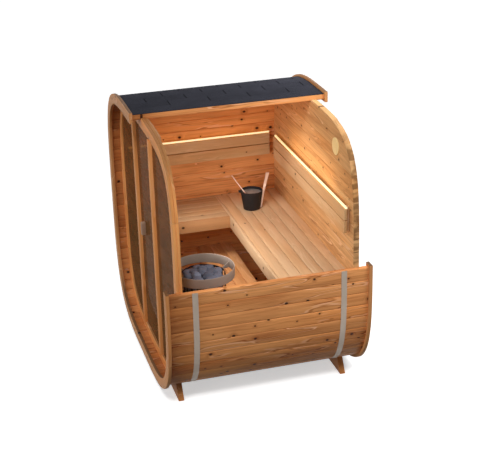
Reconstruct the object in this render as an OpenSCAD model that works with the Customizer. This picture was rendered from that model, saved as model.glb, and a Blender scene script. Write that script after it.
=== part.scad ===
// Cutaway garden sauna: a rounded box of staves along X between two end
// rings, with a glazed front wall, a boarded back wall, corner benches and
// a stove. The near upper quarter of the staves and rings is cut away, so
// that the room shows. X runs along the staves (door end at -X), -Y is the
// cut side, Z is up, and the origin is on the ground under the middle.

/* [Overall] */
// width over the end rings
ring_w = 2032; // [1600:2:2600]
// height of an end ring
ring_h = 2000; // [1600:2:2600]
// length over the end rings
body_len = 1526; // [1200:2:3000]
// ground to the lowest point of the end rings
ring_clear = 30; // [10:1:120]
// height of the widest point over the ring's lowest point
waist_h = 947; // [700:1:1200]
// squareness of the upper half of the outline, 2 for an ellipse
upper_power = 4; // [2:0.1:6]
// squareness of the lower half of the outline, 2 for an ellipse
lower_power = 3.7; // [2:0.1:6]

/* [Shell] */
// end ring, outer edge to inner edge
ring_depth = 82; // [50:1:140]
// end ring thickness along X
ring_t = 24; // [18:1:50]
// how far the end ring stands out past the staves
ring_proud = 22; // [5:1:40]
// thickness of a stave
stave_t = 42; // [20:1:60]
// nominal width of a stave
stave_w = 100; // [60:1:140]
// how far past the middle the roof runs on to the cut side
roof_cut = 22; // [0:1:200]
// height of the cut edge of the near wall over the ground
wall_cut_z = 988; // [700:1:1300]
// how much longer the end rings are than the staves at each cut
ring_extra = 20; // [0:1:60]
// depth of the groove that holds the end walls in the staves
groove = 13; // [5:1:25]
// thickness of the roof shingles
shingle_t = 6; // [3:1:12]
// angle from the top of the outline to the lower edge of the shingles
shingle_angle = 66; // [40:1:85]

/* [Bands and feet] */
// width of a steel band
band_w = 42; // [20:1:80]
// thickness of a steel band
band_t = 2; // [1:0.5:5]
// end of the body to the middle of a steel band
band_in = 212; // [150:1:400]
// thickness of a foot board
foot_t = 42; // [25:1:80]
// end of the body to the middle of a foot board
foot_in = 129; // [80:1:400]
// length of a foot board on the ground
foot_len = 1500; // [800:5:2000]
// how far each end of a foot board leans in for each unit of height
foot_lean = 0.6; // [0:0.05:1]

/* [End walls] */
// end of the body to the outer face of an end wall
porch_d = 88; // [40:1:400]
// thickness of the back wall and of the front frame
wall_t = 43; // [25:1:80]
// width of the front frame inside the staves
frame_w = 71; // [40:1:150]
// width of a door post
post_w = 60; // [40:1:120]
// how far a door post stands out in front of the frame
post_proud = 10; // [0:1:40]
// clear width between the door posts
door_gap_w = 530; // [450:1:900]
// middle of the door opening along Y
door_y = 10; // [-200:1:200]
// thickness of the glass
glass_t = 8; // [5:1:12]
// outer face of a post to the outer face of the glass
glass_back = 22; // [15:1:40]
// depth of the fixed glass in its groove in the frame and posts
glass_hold = 10; // [4:1:20]
// gap all round the glass door
door_play = 6; // [5:0.5:12]
// thickness of the header board inside over the door
header_t = 19; // [12:1:40]
// length of the header board
header_len = 866; // [600:2:1200]

/* [Door fittings] */
// height of a hinge
hinge_h = 62; // [40:1:120]
// end of the door to the hinge
hinge_inset = 130; // [60:5:400]
// diameter of a hinge knuckle
knuckle_d = 12; // [8:1:14]
// diameter of a hinge pin
hinge_pin_d = 5; // [3:0.5:8]
// width of the hinge plate on the glass
hinge_plate_w = 32; // [20:1:60]
// middle of the door handle to the middle of the door
handle_in = 112; // [-100:1:200]
// lower end of the door handle over the ground
handle_z = 996; // [800:1:1200]
// width of the door handle
handle_w = 35; // [20:1:60]
// height of the door handle
handle_h = 104; // [60:1:300]
// how far a handle block stands off the glass
handle_out = 34; // [20:1:80]

/* [Benches] */
// height of the bench tops over the ground
bench_z = 910; // [600:1:1200]
// depth of the main bench from the back wall
main_depth = 534; // [400:1:700]
// depth of the side bench from the widest point of the far wall
side_depth = 497; // [300:1:700]
// thickness of a bench board
board_t = 25; // [15:1:40]
// width of a bench board
board_w = 84; // [60:1:140]
// gap between bench boards
board_gap = 3; // [2:1:20]
// thickness of the fascia under a bench edge
fascia_t = 20; // [12:1:40]
// height of the fascia under a bench edge
fascia_h = 100; // [60:1:200]
// width of a bench bearer
bearer_w = 40; // [25:1:80]
// height of a bench bearer
bearer_h = 60; // [40:1:100]
// height of the step bench over the ground
step_z = 473; // [300:1:700]
// gap between the stove and the step bench
step_gap = 127; // [20:1:400]
// boards on the step bench
step_boards = 3; // [2:1:6]
// width of a step bench board
step_board_w = 88; // [60:1:140]

/* [Backrests and lights] */
// bench top to the lower edge of the backrests
rest_lift = 330; // [200:1:600]
// width of a backrest board
rest_board_w = 90; // [60:1:140]
// gap between the backrest boards
rest_gap = 6; // [4:1:30]
// thickness of a backrest board
rest_t = 24; // [15:1:35]
// widest point of the wall to the back of a backrest board
batten_t = 26; // [15:1:50]
// width of a backrest batten
batten_w = 40; // [25:1:80]
// near end of the back rest to the widest point of the near wall
back_rest_near = 52; // [20:1:300]
// far end of the back rest to the widest point of the far wall
back_rest_far = 152; // [80:1:400]
// width and height of a light strip
light_w = 12; // [6:1:20]
// diameter of the vent cover
vent_d = 130; // [80:1:250]
// thickness of the vent cover
vent_t = 10; // [6:1:30]
// middle of the vent cover to the widest point of the near wall
vent_in = 360; // [150:1:900]
// middle of the vent cover to the top of the end rings
vent_down = 238; // [180:1:600]

/* [Stove] */
// middle of the stove to the inner face of the front frame
stove_from_front = 256; // [240:1:900]
// middle of the stove to the widest point of the near wall
stove_from_near = 429; // [300:1:900]
// diameter of the stove
stove_d = 330; // [250:1:400]
// underside of the stove over the ground
stove_base_z = 210; // [180:1:400]
// height of the closed casing at the stove's foot
casing_h = 190; // [100:1:400]
// top hoop of the stone cage over the ground
cage_top = 905; // [700:1:1100]
// bars round the stone cage
cage_bars = 24; // [12:1:40]
// width of a cage bar
cage_bar_w = 7; // [4:1:15]
// thickness of a cage bar and hoop
cage_bar_t = 4; // [2:1:8]
// height of a cage hoop
hoop_h = 12; // [6:1:30]
// height of the heap of stones over the cage
stone_heap = 32; // [10:1:100]
// diameter of a stove leg
stove_leg_d = 24; // [12:1:50]
// middle of the stove to a leg
stove_leg_out = 120; // [60:1:150]
// outer diameter of the guard ring
guard_d = 468; // [400:1:480]
// height of the guard ring
guard_h = 73; // [40:1:120]
// top of the guard ring over the ground
guard_top = 962; // [800:1:1200]
// thickness of the guard ring
guard_t = 6; // [3:1:15]
// height of a guard bracket at the ring
bracket_h = 50; // [20:1:60]
// thickness of a guard bracket
bracket_t = 4; // [2:1:8]

/* [Bucket] */
// middle of the bucket to the front edge of the main bench
bucket_in = 219; // [120:1:400]
// middle of the bucket to the widest point of the far wall
bucket_from_far = 384; // [240:1:1500]
// height of the bucket
bucket_h = 160; // [100:1:300]
// outer diameter at the base
bucket_base_d = 137; // [100:1:250]
// outer diameter at the rim
bucket_rim_d = 182; // [120:1:300]
// wall thickness of the bucket
bucket_t = 5; // [2:1:10]
// width of the ear opposite the grip
ear_w = 26; // [10:1:60]
// how far the ear stands out past the rim
ear_out = 17; // [5:1:40]
// height of the ear
ear_h = 16; // [5:1:40]
// top of the ear to the rim
ear_drop = 4; // [0:1:20]
// height of the wooden grip over the bucket's base
grip_h = 311; // [200:1:500]
// thickness of the wooden grip
grip_t = 14; // [8:1:30]
// foot of the wooden grip over the bucket's base
grip_lift = 10; // [2:1:40]
// width of the wooden grip at its foot
grip_foot_w = 12; // [8:1:30]
// width of the wooden grip at the bucket's rim
grip_rim_w = 18; // [8:1:40]
// width of the wooden grip at its top
grip_top_w = 29; // [10:1:60]
// how far the top of the grip leans out past the rim
grip_out = 30; // [0:1:80]
// length of the ladle's handle
ladle_len = 290; // [200:1:500]
// diameter of the ladle's handle
ladle_d = 10; // [6:1:20]
// diameter of the ladle's cup
cup_d = 50; // [30:1:60]
// height of the ladle's cup
cup_h = 38; // [20:1:60]
// wall thickness of the ladle's cup
cup_t = 4; // [2:1:8]

/* [Hidden] */
$fn = 96;

fit = 0.3;
big = 4000;
half_w = ring_w / 2;
half_len = body_len / 2;
waist_z = ring_clear + waist_h;
upper_h = ring_h - waist_h;
shell_out = ring_proud;
shell_in = ring_proud + stave_t;
wall_edge = shell_in - groove;
stave_x = half_len - ring_t;
room_half_w = half_w - shell_in;

stave_wood = [0.72, 0.45, 0.25];
ring_wood = [0.72, 0.47, 0.30];
frame_wood = [0.80, 0.52, 0.30];
bench_wood = [0.84, 0.62, 0.42];
hidden_wood = [0.70, 0.50, 0.32];
black_paint = [0.15, 0.15, 0.16];
hinge_metal = [0.72, 0.60, 0.35];
light_colour = [1, 0.93, 0.65];
glass_colour = [0.75, 0.80, 0.80, 0.4];

// ---- Outline ----
// The outline of the body seen along X is a rounded square. A point on it
// is named by its turn from the top towards the far side: 90 is the far
// side, 180 the bottom and 270 the near side.
function rise(t) = cos(t) >= 0 ? upper_h : waist_h;
function power(t) = cos(t) >= 0 ? upper_power : lower_power;
function across(t) = pow(abs(sin(t)) / half_w, power(t));
function along(t) = pow(abs(cos(t)) / rise(t), power(t));
function reach(t) = pow(across(t) + along(t), -1 / power(t));
function edge_point(t) = [reach(t) * sin(t), waist_z + reach(t) * cos(t)];

// Direction square to the outline at a turn
function slope_y(t) = sign(sin(t)) * pow(reach(t) * abs(sin(t)) / half_w, power(t) - 1) / half_w;
function slope_z(t) = sign(cos(t)) * pow(reach(t) * abs(cos(t)) / rise(t), power(t) - 1) / rise(t);
function normal(t) = [slope_y(t), slope_z(t)] / norm([slope_y(t), slope_z(t)]);
function outline_point(t, inset) = edge_point(t) - inset * normal(t);

// Pairs of a turn and the length along the outline from the top to it
turns = [for (t = [-20:1:380]) t];
last_turn = len(turns) - 1;
function step_length(i) = i < last_turn ? norm(edge_point(turns[i + 1]) - edge_point(turns[i])) : 0;
run = [for (i = 0, s = 0; i <= last_turn; s = s + step_length(i), i = i + 1) s];
top_run = lookup(0, [for (i = [0:last_turn]) [turns[i], run[i]]]);
run_at_turn = [for (i = [0:last_turn]) [turns[i], run[i] - top_run]];
turn_at_run = [for (pair = run_at_turn) [pair[1], pair[0]]];
function run_of(t) = lookup(t, run_at_turn);
function turn_of(s) = lookup(s, turn_at_run);

// Height of the outline over and under a place along Y
function over(y, inset) = lookup(y, [for (t = [-80:1:80]) outline_point(t, inset)]);
function under(y, inset) = lookup(y, [for (t = [260:-1:100]) outline_point(t, inset)]);

// The staves fill the outline from the cut in the roof to the cut in the
// near wall, and the joints between them are counted from the roof cut.
first_run = -roof_cut;
last_run = run_of(270) + wall_cut_z - waist_z;
stave_count = round((last_run - first_run) / stave_w);
stave_pitch = (last_run - first_run) / stave_count;
function joint_turn(i) = turn_of(first_run + i * stave_pitch);
function nearest_joint(t) = round((run_of(t) - first_run) / stave_pitch);

// Solid seen along X between two x values
module along_x(from, to) {
    translate([from, 0, 0])
        rotate([90, 0, 90])
            linear_extrude(height = to - from)
                children();
}

// Flat section of the staves between two joints, with flat stave faces
module stave_section(from, to, outer, inner) {
    polygon(concat(
        [for (i = [from:to]) outline_point(joint_turn(i), outer)],
        [for (i = [to:-1:from]) outline_point(joint_turn(i), inner)]));
}

// Closed outline with a point at every stave joint and two more between
outline_steps = 3 * round(run_of(360) / stave_w);
module whole_outline(inset) {
    polygon([for (i = [0:outline_steps - 1])
        outline_point(turn_of(run_of(360) * (i + 0.5) / outline_steps), inset)]);
}

// Room between the end walls, inside the flat stave faces
module room(gap) {
    along_x(front_in_x + gap, back_in_x - gap)
        union() {
            stave_section(0, stave_count, shell_in + gap, half_w / 2);
            whole_outline(shell_in + stave_sag + gap);
        }
}
stave_sag = 4;

// ---- Shell ----
front_x = -half_len + porch_d;
front_in_x = front_x + wall_t;
back_x = half_len - porch_d;
back_in_x = back_x - wall_t;
stove_x = front_in_x + stove_from_front;
stove_y = -room_half_w + stove_from_near;
module wall_grooves() {
    along_x(front_x, front_in_x) whole_outline(wall_edge);
    along_x(back_in_x, back_x) whole_outline(wall_edge);
}
module shell_part(from, to) {
    color(stave_wood)
        difference() {
            along_x(-stave_x, stave_x) stave_section(from, to, shell_out, shell_in);
            wall_grooves();
        }
}
roof_end = nearest_joint(60);
far_end = nearest_joint(130);
floor_end = nearest_joint(230);
module roof_shell() { shell_part(0, roof_end); }
module far_wall_shell() { shell_part(roof_end, far_end); }
module floor_shell() { shell_part(far_end, floor_end); }
module near_wall_shell() { shell_part(floor_end, stave_count); }

// Open ring round the end of the staves, a little longer than they are
ring_steps = 3 * stave_count;
ring_first = first_run - ring_extra;
ring_run = last_run + ring_extra - ring_first;
module ring_section() {
    polygon(concat(
        [for (i = [0:ring_steps]) outline_point(turn_of(ring_first + ring_run * i / ring_steps), 0)],
        [for (i = [ring_steps:-1:0])
            outline_point(turn_of(ring_first + ring_run * i / ring_steps), ring_depth)]));
}
module end_ring(x) {
    color(ring_wood)
        along_x(x, x + ring_t) ring_section();
}
module front_ring() { end_ring(-half_len); }
module back_ring() { end_ring(stave_x); }

shingle_end = nearest_joint(shingle_angle);
module roof_shingles() {
    color([0.13, 0.13, 0.15])
        along_x(-stave_x, stave_x)
            stave_section(0, shingle_end, shell_out - shingle_t, shell_out);
}

module band(x) {
    color([0.62, 0.58, 0.52])
        along_x(x - band_w / 2, x + band_w / 2)
            stave_section(shingle_end, stave_count, shell_out - band_t, shell_out);
}
module front_band() { band(-half_len + band_in); }
module back_band() { band(half_len - band_in); }

// Foot board under the staves, its top cut to their curve
foot_top = ring_clear + waist_h / 2;
module foot(x) {
    color([0.62, 0.38, 0.20])
        difference() {
            along_x(x - foot_t / 2, x + foot_t / 2)
                polygon([
                    [-foot_len / 2, 0],
                    [foot_len / 2, 0],
                    [foot_len / 2 - foot_lean * foot_top, foot_top],
                    [-foot_len / 2 + foot_lean * foot_top, foot_top]]);
            along_x(x - foot_t, x + foot_t) stave_section(0, stave_count, shell_out, half_w / 2);
            along_x(x - foot_t, x + foot_t) whole_outline(2 * ring_depth);
        }
}
module front_foot() { foot(-half_len + foot_in); }
module back_foot() { foot(half_len - foot_in); }

// ---- End walls ----
module back_wall() {
    color([0.74, 0.48, 0.27])
        along_x(back_in_x, back_x) whole_outline(wall_edge + fit);
}

frame_in = shell_in + frame_w;
post_x = front_x - post_proud;
glass_x = post_x + glass_back;
door_near_y = door_y - door_gap_w / 2;
door_far_y = door_y + door_gap_w / 2;

// Grooves in the frame and posts for the fixed glass
module window_slots() {
    along_x(glass_x - fit, glass_x + glass_t + fit)
        difference() {
            whole_outline(frame_in - glass_hold);
            translate([door_near_y - post_w + glass_hold, 0])
                square([door_gap_w + 2 * post_w - 2 * glass_hold, big]);
        }
}
module front_frame() {
    color(frame_wood)
        difference() {
            along_x(front_x, front_in_x)
                difference() {
                    whole_outline(wall_edge + fit);
                    whole_outline(frame_in);
                }
            window_slots();
        }
}
module header_board() {
    color(frame_wood)
        intersection() {
            translate([front_in_x, door_y - header_len / 2, over(0, frame_in)])
                cube([header_t, header_len, frame_w + stave_t]);
            room(0);
        }
}
module door_post(y) {
    color(frame_wood)
        difference() {
            intersection() {
                translate([post_x, y, 0])
                    cube([wall_t + post_proud, post_w, big]);
                along_x(post_x - 1, front_in_x + 1) whole_outline(frame_in + fit);
            }
            window_slots();
        }
}
module far_post() { door_post(door_far_y); }
module near_post() { door_post(door_near_y - post_w); }

// Fixed glass on one side of the door, 1 for the far side
module window(side) {
    edge = post_w - glass_hold + fit;
    color(glass_colour)
        intersection() {
            along_x(glass_x, glass_x + glass_t)
                whole_outline(frame_in - glass_hold + fit);
            translate([-big / 2, side > 0 ? door_far_y + edge : door_near_y - edge - big, 0])
                cube([big, big, big]);
        }
}
module far_window() { window(1); }
module near_window() { window(-1); }

// ---- Door ----
door_w = door_gap_w - 2 * door_play;
hinge_edge_y = door_near_y + door_play;
free_edge_y = door_far_y - door_play;
door_top = min(over(hinge_edge_y, frame_in), over(free_edge_y, frame_in)) - door_play;
door_bottom = max(under(hinge_edge_y, frame_in), under(free_edge_y, frame_in)) + door_play;
module door_glass() {
    color(glass_colour)
        translate([glass_x, hinge_edge_y, door_bottom])
            cube([glass_t, door_w, door_top - door_bottom]);
}

// Each hinge has a middle knuckle and a pin on the post, and two outer
// knuckles with a plate on the glass. The axis is in front of the glass.
hinge_x = glass_x - knuckle_d / 2 - 2;
hinge_y = door_near_y + knuckle_d / 2 + 1;
hinge_gap = 1;
knuckle_h = (hinge_h - 2 * hinge_gap) / 3;
pin_play = 0.05;
module at_hinges() {
    for (z = [door_bottom + hinge_inset, door_top - hinge_inset - hinge_h])
        translate([hinge_x, hinge_y, z])
            children();
}
module hinge_leaves() {
    color(hinge_metal)
        at_hinges() {
            cylinder(d = hinge_pin_d, h = hinge_h);
            translate([0, 0, knuckle_h + hinge_gap]) {
                cylinder(d = knuckle_d, h = knuckle_h);
                translate([-knuckle_d / 2, door_near_y - hinge_y, 0])
                    cube([knuckle_d, hinge_y - door_near_y, knuckle_h]);
            }
        }
}
module door_hinges() {
    color(hinge_metal)
        at_hinges()
            difference() {
                for (z = [0, 2 * (knuckle_h + hinge_gap)])
                    translate([0, 0, z]) {
                        cylinder(d = knuckle_d, h = knuckle_h);
                        cube([glass_x - hinge_x, hinge_plate_w, knuckle_h]);
                    }
                translate([0, 0, -1])
                    cylinder(d = hinge_pin_d + 2 * pin_play, h = hinge_h + 2);
            }
}
// A wooden block on each face of the glass
module door_handle() {
    color([0.45, 0.36, 0.30])
        for (x = [glass_x - handle_out, glass_x + glass_t])
            translate([x, door_y + handle_in - handle_w / 2, handle_z])
                cube([handle_out, handle_w, handle_h]);
}

module vent_cover() {
    color([0.85, 0.65, 0.42])
        translate([back_in_x - vent_t, -room_half_w + vent_in, ring_clear + ring_h - vent_down])
            rotate([0, 90, 0])
                cylinder(d = vent_d, h = vent_t);
}

// ---- Benches ----
main_x = back_in_x - main_depth;
side_y = room_half_w - side_depth;
step_x = stove_x + stove_d / 2 + step_gap;
bearer_z = bench_z - board_t - bearer_h;

// Boards along Y from wall to wall, side by side from x
module boards_along_y(x, count, width, z) {
    intersection() {
        for (i = [0:count - 1])
            translate([x + board_gap + i * (width + board_gap), -half_w, z - board_t])
                cube([width, 2 * half_w, board_t]);
        room(fit);
    }
}
// Fascia along Y from wall to wall, level with the board tops
module fascia_along_y(x, z) {
    intersection() {
        translate([x, -half_w, z - fascia_h])
            cube([fascia_t, 2 * half_w, fascia_h]);
        room(fit);
    }
}

main_boards = ceil((main_depth - fascia_t) / (board_w + board_gap));
module main_bench_top() {
    color(bench_wood)
        boards_along_y(main_x + fascia_t, main_boards, board_w, bench_z);
}
module main_bench_fascia() {
    color(bench_wood)
        fascia_along_y(main_x, bench_z);
}
main_bearer_ys = [-0.85, -0.28, 0.28, 0.85] * room_half_w;
module main_bench_bearers() {
    color(hidden_wood)
        for (y = main_bearer_ys)
            translate([main_x + fascia_t, y - bearer_w / 2, bearer_z])
                cube([main_depth - fascia_t, bearer_w, bearer_h]);
}

// The side bench runs along X, from the front wall to the main bench
side_x = front_in_x + fit;
side_len = main_x - fit - side_x;
side_boards = ceil((side_depth - fascia_t) / (board_w + board_gap));
module side_bench_top() {
    color(bench_wood)
        intersection() {
            for (i = [0:side_boards - 1])
                translate([side_x, side_y + fascia_t + board_gap + i * (board_w + board_gap), bench_z - board_t])
                    cube([side_len, board_w, board_t]);
            room(fit);
        }
}
module side_bench_fascia() {
    color(bench_wood)
        translate([side_x, side_y, bench_z - fascia_h])
            cube([side_len, fascia_t, fascia_h]);
}
module side_bench_bearers() {
    color(hidden_wood)
        intersection() {
            for (i = [0:2])
                translate([side_x + i * (side_len - bearer_w) / 2, side_y + fascia_t, bearer_z])
                    cube([bearer_w, side_depth, bearer_h]);
            room(0);
        }
}

step_top_w = step_boards * (step_board_w + board_gap);
module step_bench_top() {
    color(bench_wood)
        boards_along_y(step_x + fascia_t, step_boards, step_board_w, step_z);
}
module step_bench_fascia() {
    color(bench_wood)
        fascia_along_y(step_x, step_z);
}
// Cross bearers on legs that stand on the floor staves
step_frame_ys = [-0.7, 0, 0.7] * room_half_w;
module step_bench_frame() {
    color(hidden_wood)
        intersection() {
            for (y = step_frame_ys)
                translate([step_x + fascia_t, y - bearer_w / 2, 0]) {
                    translate([0, 0, step_z - board_t - bearer_h])
                        cube([step_top_w, bearer_w, bearer_h]);
                    for (x = [0, step_top_w - bearer_w])
                        translate([x, 0, 0])
                            cube([bearer_w, bearer_w, step_z - board_t - bearer_h]);
                }
            room(0);
        }
}

// ---- Backrests and lights ----
rest_z = bench_z + rest_lift;
rest_top = rest_z + 2 * rest_board_w + rest_gap;
back_rest_x = back_in_x - batten_t - rest_t;
back_rest_y = -room_half_w + back_rest_near;
back_rest_len = 2 * room_half_w - back_rest_near - back_rest_far;
module back_rest() {
    color(bench_wood)
        for (z = [rest_z, rest_z + rest_board_w + rest_gap])
            translate([back_rest_x, back_rest_y, z])
                cube([rest_t, back_rest_len, rest_board_w]);
}
batten_end = 30;
module back_rest_battens() {
    color(hidden_wood)
        for (i = [0:2])
            translate([back_rest_x + rest_t,
                back_rest_y + batten_end + i * (back_rest_len - 2 * batten_end - batten_w) / 2, rest_z])
                cube([batten_t, batten_w, rest_top - rest_z]);
}
side_rest_y = room_half_w - batten_t - rest_t;
side_rest_x = front_in_x + header_t + fit;
side_rest_len = back_rest_x - side_rest_x;
module side_rest() {
    color(bench_wood)
        for (z = [rest_z, rest_z + rest_board_w + rest_gap])
            translate([side_rest_x, side_rest_y, z])
                cube([side_rest_len, rest_t, rest_board_w]);
}
module side_rest_battens() {
    color(hidden_wood)
        intersection() {
            for (i = [0:2])
                translate([side_rest_x + batten_end + i * (side_rest_len - 2 * batten_end - batten_w) / 2,
                    side_rest_y + rest_t, rest_z])
                    cube([batten_w, half_w, rest_top - rest_z]);
            room(0);
        }
}
// Light strips on the back half of the top edges
module back_light() {
    color(light_colour)
        translate([back_rest_x + rest_t - light_w, back_rest_y, rest_top])
            cube([light_w, back_rest_len, light_w]);
}
module side_light() {
    color(light_colour)
        translate([side_rest_x, side_rest_y + rest_t - light_w, rest_top])
            cube([side_rest_len, light_w, light_w]);
}

// ---- Stove ----
cage_base = stove_base_z + casing_h;
cage_hoops = 4;
module at_stove(z) {
    translate([stove_x, stove_y, z])
        children();
}
// Round casing on four legs that stand on the floor staves
module stove_casing() {
    color(black_paint)
        intersection() {
            union() {
                at_stove(stove_base_z)
                    cylinder(d = stove_d, h = casing_h);
                for (a = [45:90:315])
                    at_stove(0)
                        rotate([0, 0, a])
                            translate([stove_leg_out, 0, 0])
                                cylinder(d = stove_leg_d, h = stove_base_z);
            }
            room(0);
        }
}
module stove_cage() {
    color(black_paint)
        at_stove(cage_base) {
            for (i = [0:cage_hoops - 1])
                translate([0, 0, i * (cage_top - cage_base - hoop_h) / (cage_hoops - 1)])
                    difference() {
                        cylinder(d = stove_d, h = hoop_h);
                        translate([0, 0, -1])
                            cylinder(d = stove_d - 2 * cage_bar_t, h = hoop_h + 2);
                    }
            for (i = [0:cage_bars - 1])
                rotate([0, 0, i * 360 / cage_bars])
                    translate([stove_d / 2 - cage_bar_t, -cage_bar_w / 2, 0])
                        cube([cage_bar_t - 0.5, cage_bar_w, cage_top - cage_base]);
        }
}
stone_d = stove_d - 2 * cage_bar_t - 2;
stone_edge_h = 5;
module stove_stones() {
    color([0.30, 0.30, 0.35])
        at_stove(cage_base)
            rotate_extrude()
                polygon([
                    [0, 0],
                    [stone_d / 2, 0],
                    [stone_d / 2, cage_top - cage_base - stone_edge_h],
                    [stone_d * 0.36, cage_top - cage_base + stone_heap * 0.7],
                    [stone_d * 0.18, cage_top - cage_base + stone_heap],
                    [0, cage_top - cage_base + stone_heap]]);
}
// Guard ring on three brackets from the top hoop of the cage
guard_turn = 18;
module stove_guard() {
    gap = (guard_d - stove_d) / 2;
    color([0.47, 0.42, 0.37])
        at_stove(0) {
            translate([0, 0, guard_top - guard_h])
                difference() {
                    cylinder(d = guard_d, h = guard_h);
                    translate([0, 0, -1])
                        cylinder(d = guard_d - 2 * guard_t, h = guard_h + 2);
                }
            for (a = [guard_turn:120:guard_turn + 240])
                rotate([0, 0, a])
                    translate([stove_d / 2, bracket_t / 2, cage_top - hoop_h])
                        rotate([90, 0, 0])
                            linear_extrude(height = bracket_t)
                                polygon([
                                    [0, 0],
                                    [gap - guard_t / 2, 0],
                                    [gap - guard_t / 2, bracket_h],
                                    [0, hoop_h]]);
        }
}

// ---- Bucket ----
bucket_x = main_x + bucket_in;
bucket_y = room_half_w - bucket_from_far;
wall_lean = (bucket_rim_d - bucket_base_d) / 2 / bucket_h;
module at_bucket(z) {
    translate([bucket_x, bucket_y, bench_z + z])
        children();
}
ear_hold = bucket_t - 1;
module bucket() {
    color([0.12, 0.12, 0.12])
        at_bucket(0) {
            rotate_extrude()
                polygon([
                    [0, 0],
                    [bucket_base_d / 2, 0],
                    [bucket_rim_d / 2, bucket_h],
                    [bucket_rim_d / 2 - bucket_t, bucket_h],
                    [bucket_base_d / 2 - bucket_t, bucket_t],
                    [0, bucket_t]]);
            rotate([0, 0, grip_turn + 180])
                translate([bucket_rim_d / 2 - ear_hold, -ear_w / 2, bucket_h - ear_drop - ear_h])
                    cube([ear_out + ear_hold, ear_w, ear_h]);
        }
}
// Upright wooden grip on the outside of the bucket, wider at its top
grip_turn = -16;
module bucket_grip() {
    base_r = bucket_base_d / 2 + fit + grip_lift * wall_lean;
    rim_r = bucket_rim_d / 2 + fit;
    color([0.80, 0.62, 0.50])
        at_bucket(0)
            rotate([0, 0, grip_turn])
                translate([0, grip_t / 2, 0])
                    rotate([90, 0, 0])
                        linear_extrude(height = grip_t)
                            polygon([
                                [base_r, grip_lift],
                                [base_r + grip_foot_w, grip_lift],
                                [rim_r + grip_rim_w, bucket_h],
                                [rim_r + grip_out + grip_top_w, grip_h],
                                [rim_r + grip_out, grip_h],
                                [rim_r, bucket_h]]);
}
// Ladle that leans over the rim, with its cup down inside the bucket
ladle_tilt = 19;
ladle_turn = 102;
// the foot of the handle and the base of the cup lie this far under the rim
foot_down = 31;
cup_down = 70;
ladle_foot = [-48.6, -55, bucket_h - foot_down];
cup_place = [-30, -36, bucket_h - cup_down];
module ladle() {
    color([0.80, 0.62, 0.50])
        at_bucket(0) {
            difference() {
                union() {
                    translate(ladle_foot)
                        rotate([0, 0, ladle_turn])
                            rotate([0, 90 - ladle_tilt, 0])
                                cylinder(d = ladle_d, h = ladle_len);
                    translate(cup_place)
                        cylinder(d = cup_d, h = cup_h);
                }
                translate(cup_place + [0, 0, cup_t])
                    cylinder(d = cup_d - 2 * cup_t, h = cup_h);
            }
        }
}

roof_shell();
far_wall_shell();
floor_shell();
near_wall_shell();
front_ring();
back_ring();
roof_shingles();
front_band();
back_band();
front_foot();
back_foot();
back_wall();
front_frame();
header_board();
far_post();
near_post();
far_window();
near_window();
hinge_leaves();
door_glass();
door_hinges();
door_handle();
vent_cover();
main_bench_top();
main_bench_fascia();
main_bench_bearers();
side_bench_top();
side_bench_fascia();
side_bench_bearers();
step_bench_top();
step_bench_fascia();
step_bench_frame();
back_rest();
back_rest_battens();
side_rest();
side_rest_battens();
back_light();
side_light();
stove_casing();
stove_cage();
stove_stones();
stove_guard();
bucket();
bucket_grip();
ladle();
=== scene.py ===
import math
import random

import bmesh
import bpy
from mathutils import Euler, Matrix, Vector, noise


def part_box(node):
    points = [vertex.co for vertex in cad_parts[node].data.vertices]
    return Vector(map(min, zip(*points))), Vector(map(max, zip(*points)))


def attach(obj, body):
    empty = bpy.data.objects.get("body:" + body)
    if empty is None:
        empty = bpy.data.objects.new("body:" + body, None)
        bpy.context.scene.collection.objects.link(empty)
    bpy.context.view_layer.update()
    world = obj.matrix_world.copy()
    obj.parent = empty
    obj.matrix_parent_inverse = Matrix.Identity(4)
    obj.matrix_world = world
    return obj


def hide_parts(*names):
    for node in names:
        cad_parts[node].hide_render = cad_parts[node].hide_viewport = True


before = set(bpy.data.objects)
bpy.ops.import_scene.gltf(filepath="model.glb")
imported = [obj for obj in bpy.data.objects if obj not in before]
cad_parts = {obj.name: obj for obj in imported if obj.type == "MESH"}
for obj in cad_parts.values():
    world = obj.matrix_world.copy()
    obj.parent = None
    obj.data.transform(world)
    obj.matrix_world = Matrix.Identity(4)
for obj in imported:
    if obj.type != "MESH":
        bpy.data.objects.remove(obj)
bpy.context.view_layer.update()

random.seed(11)
X, Y, Z = 0, 1, 2
WHITE = (1.0, 1.0, 1.0)


def corners(pair):
    """The low and the high corner of a box as vectors."""
    return [Vector(p) for p in pair]


def level_turn(degrees):
    """A level direction at a turn from X, and the level one a quarter turn on."""
    a = math.radians(degrees)
    return Vector((math.cos(a), math.sin(a), 0)), Vector((-math.sin(a), math.cos(a), 0))


# ---------------------------------------------------------------- camera
CAM_AT = Vector((-2.2744, -8.5925, 4.7734))
CAM_AZ, CAM_EL, CAM_ROLL = math.radians(-15.65), math.radians(23.42), math.radians(-1.51)
CAM_LENS, CAM_SENSOR, CAM_CLIP_END = 90.0, 36, 60
CAM_SHIFT = (-0.0014, -0.0010)


def add_camera():
    level = math.cos(CAM_EL)
    back = Vector((math.sin(CAM_AZ) * level, -math.cos(CAM_AZ) * level, math.sin(CAM_EL)))
    right = Vector((math.cos(CAM_AZ), math.sin(CAM_AZ), 0))
    up = back.cross(right)
    right, up = (math.cos(CAM_ROLL) * right + math.sin(CAM_ROLL) * up,
                 math.cos(CAM_ROLL) * up - math.sin(CAM_ROLL) * right)
    data = bpy.data.cameras.new("camera")
    data.lens = CAM_LENS
    data.sensor_width = CAM_SENSOR
    data.clip_end = CAM_CLIP_END
    data.shift_x, data.shift_y = CAM_SHIFT
    cam = bpy.data.objects.new("camera", data)
    turn = Matrix((right, up, back)).transposed().to_4x4()
    cam.matrix_world = Matrix.Translation(CAM_AT) @ turn
    bpy.context.scene.collection.objects.link(cam)
    bpy.context.scene.camera = cam


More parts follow.
